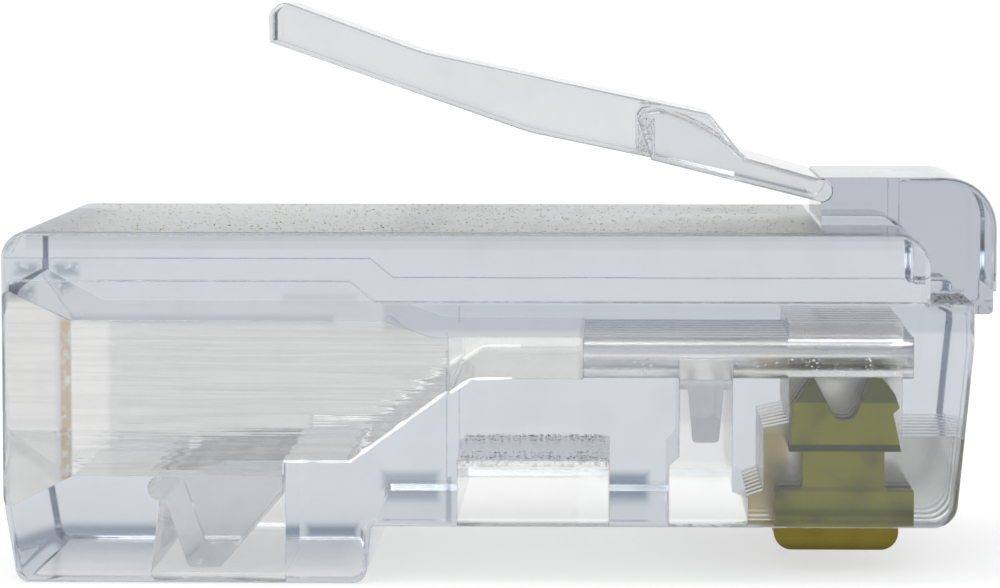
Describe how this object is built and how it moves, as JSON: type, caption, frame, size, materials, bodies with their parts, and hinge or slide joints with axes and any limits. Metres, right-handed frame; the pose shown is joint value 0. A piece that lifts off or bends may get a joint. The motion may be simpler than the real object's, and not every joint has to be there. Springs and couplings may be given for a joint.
{
  "type": "modular plug",
  "caption": "Clear modular data plug with a sprung latch, crimp bars under the cable entry and gold blade contacts standing proud, ready to be crimped.",
  "frame": {"origin": "below the middle of the plug's overall length and width, on the plane that the cable end's underside stands on", "axes": "+X out of the nose, +Y across the plug, +Z towards the latch; the contacts face down"},
  "size_m": [0.0222, 0.0116, 0.0128],
  "materials": {
    "clear_plastic": "gloss, transparent",
    "contact_gold": "plated, satin"
  },
  "bodies": {
    "shell": {"housing": "clear_plastic"},
    "latch_tab": {"latch": "clear_plastic"},
    "jacket_clamp": {"jacket_bar": "clear_plastic"},
    "wire_clamp": {"wire_bar": "clear_plastic"},
    "blade_1": {"contact_1": "contact_gold"},
    "blade_2": {"contact_2": "contact_gold"},
    "blade_3": {"contact_3": "contact_gold"},
    "blade_4": {"contact_4": "contact_gold"},
    "blade_5": {"contact_5": "contact_gold"},
    "blade_6": {"contact_6": "contact_gold"},
    "blade_7": {"contact_7": "contact_gold"},
    "blade_8": {"contact_8": "contact_gold"}
  },
  "joints": [
    {"name": "latch_press", "type": "hinge", "parent": "shell", "child": "latch_tab", "pos_m": [0.00712, 0, 0.00858], "axis": [0, -1, 0], "range_deg": [0, 15.5], "stiffness_Nm_per_rad": 0.3},
    {"name": "jacket_bar_swing", "type": "hinge", "parent": "shell", "child": "jacket_clamp", "pos_m": [-0.00778, 0, 0.00192], "axis": [0, -1, 0], "range_deg": [0, 25]},
    {"name": "wire_bar_press", "type": "slide", "parent": "shell", "child": "wire_clamp", "axis": [0, 0, 1], "range_m": [0, 0.00045]},
    {"name": "contact_press_1", "type": "slide", "parent": "shell", "child": "blade_1", "axis": [0, 0, 1], "range_m": [0, 0.00115]},
    {"name": "contact_press_2", "type": "slide", "parent": "shell", "child": "blade_2", "axis": [0, 0, 1], "range_m": [0, 0.00115]},
    {"name": "contact_press_3", "type": "slide", "parent": "shell", "child": "blade_3", "axis": [0, 0, 1], "range_m": [0, 0.00115]},
    {"name": "contact_press_4", "type": "slide", "parent": "shell", "child": "blade_4", "axis": [0, 0, 1], "range_m": [0, 0.00115]},
    {"name": "contact_press_5", "type": "slide", "parent": "shell", "child": "blade_5", "axis": [0, 0, 1], "range_m": [0, 0.00115]},
    {"name": "contact_press_6", "type": "slide", "parent": "shell", "child": "blade_6", "axis": [0, 0, 1], "range_m": [0, 0.00115]},
    {"name": "contact_press_7", "type": "slide", "parent": "shell", "child": "blade_7", "axis": [0, 0, 1], "range_m": [0, 0.00115]},
    {"name": "contact_press_8", "type": "slide", "parent": "shell", "child": "blade_8", "axis": [0, 0, 1], "range_m": [0, 0.00115]}
  ]
}
